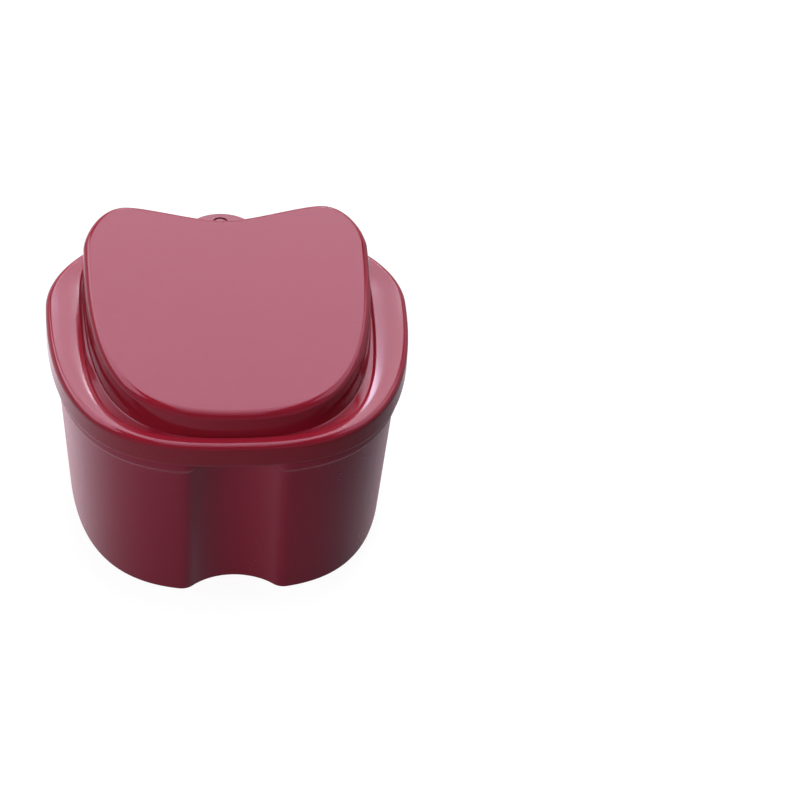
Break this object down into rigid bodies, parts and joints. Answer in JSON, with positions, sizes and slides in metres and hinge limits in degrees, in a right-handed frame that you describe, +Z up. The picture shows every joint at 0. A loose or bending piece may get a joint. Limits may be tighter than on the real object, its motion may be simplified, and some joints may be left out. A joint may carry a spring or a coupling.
{
  "type": "denture case",
  "caption": "Denture soaking tub with a finger groove, a strainer basket with a folding handle, and a press-on lid with a heart-shaped raised top and a lift tab.",
  "frame": {"origin": "bottom centre of the whole case, on the surface it stands on", "axes": "+Z up, -Y towards the tub's finger groove, +Y towards the lid's lift tab, +X to the right seen from the groove side"},
  "size_m": [0.095, 0.1028, 0.065],
  "materials": {
    "case_plastic": "high-gloss moulded plastic, wine red",
    "basket_plastic": "semi-gloss moulded plastic, off-white"
  },
  "bodies": {
    "tub": {"tub": "case_plastic"},
    "basket": {"basket": "basket_plastic"},
    "handle": {"basket_handle": "basket_plastic"},
    "lid": {"lid": "case_plastic"}
  },
  "joints": [
    {"name": "basket_lift", "type": "slide", "parent": "tub", "child": "basket", "axis": [0, 0, 1], "range_m": [0, 0.06]},
    {"name": "lid_lift", "type": "slide", "parent": "basket", "child": "lid", "axis": [0, 0, 1], "range_m": [0, 0.08]},
    {"name": "handle_swing", "type": "hinge", "parent": "basket", "child": "handle", "pos_m": [0, 0.009, 0.0442], "axis": [1, 0, 0], "range_deg": [0, 90]}
  ],
  "couplings": [
    {"joint": "handle_swing", "follows": "lid_lift", "rad_per_m": 19.63}
  ]
}
